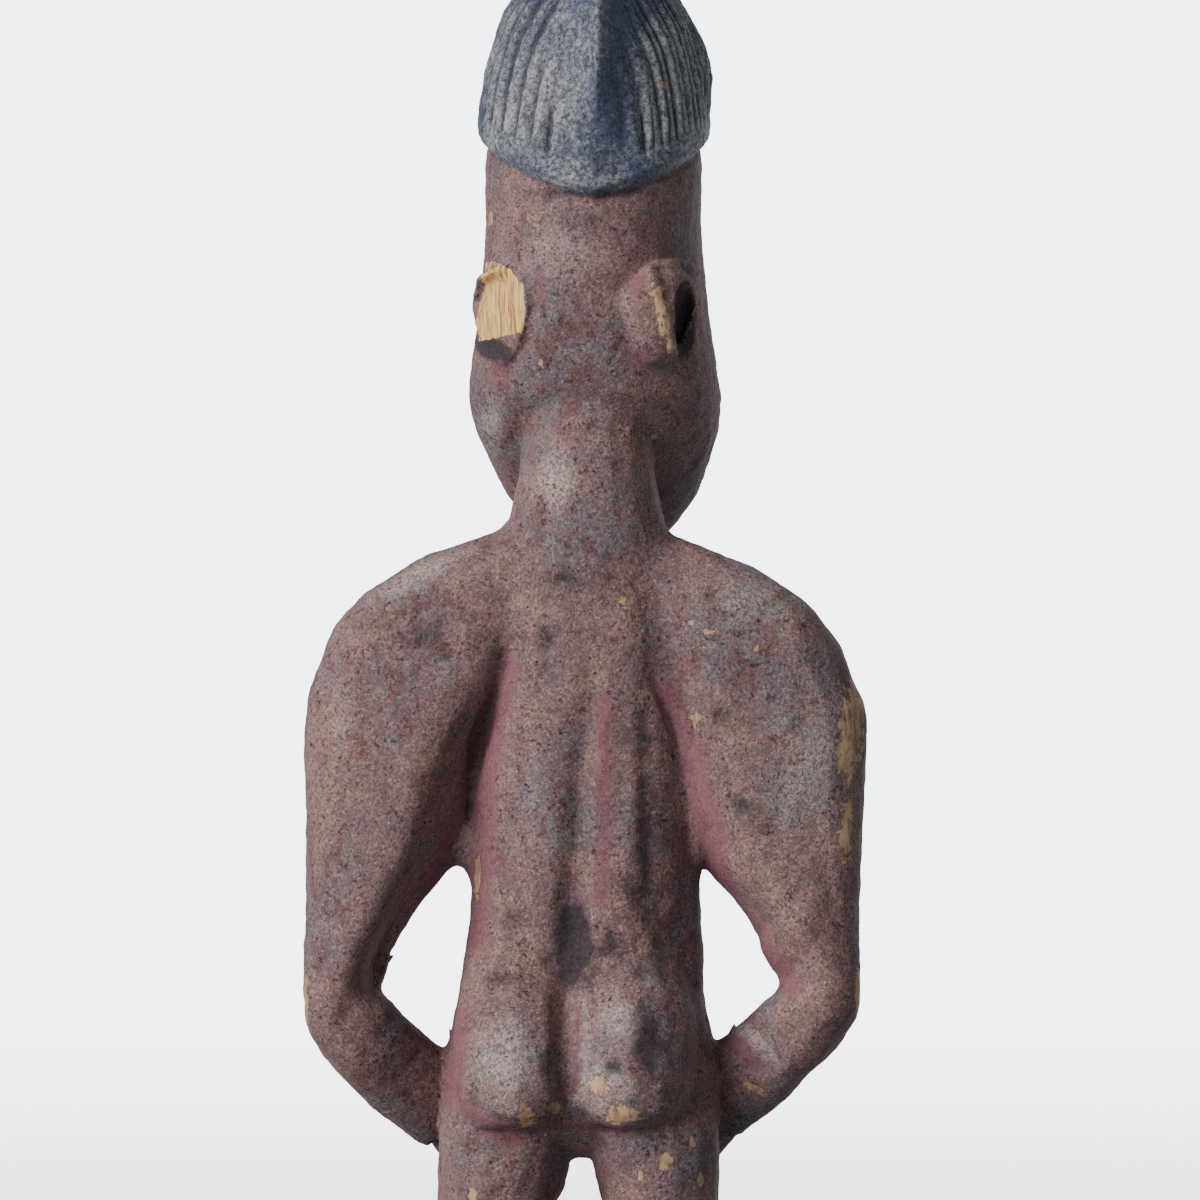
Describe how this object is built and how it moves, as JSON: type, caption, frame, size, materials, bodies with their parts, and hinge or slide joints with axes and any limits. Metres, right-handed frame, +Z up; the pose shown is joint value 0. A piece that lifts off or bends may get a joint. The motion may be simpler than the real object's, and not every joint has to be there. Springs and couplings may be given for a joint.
{
  "type": "ibeji figure",
  "caption": "Carved wooden standing twin figure with hands on its hips, a long turned head, a tall grooved hair crest, one broken ear and a low round base.",
  "frame": {"origin": "middle of the base's underside", "axes": "+Z up from the base to the crest, the figure faces -Y, +X towards the figure's own left hand"},
  "size_m": [0.0952, 0.0772, 0.292],
  "materials": {
    "wood": "worn dusty red-brown pigment over pale wood, dark grey in the recesses, indigo on the hair"
  },
  "bodies": {
    "root": {"figure": "wood"}
  },
  "joints": []
}
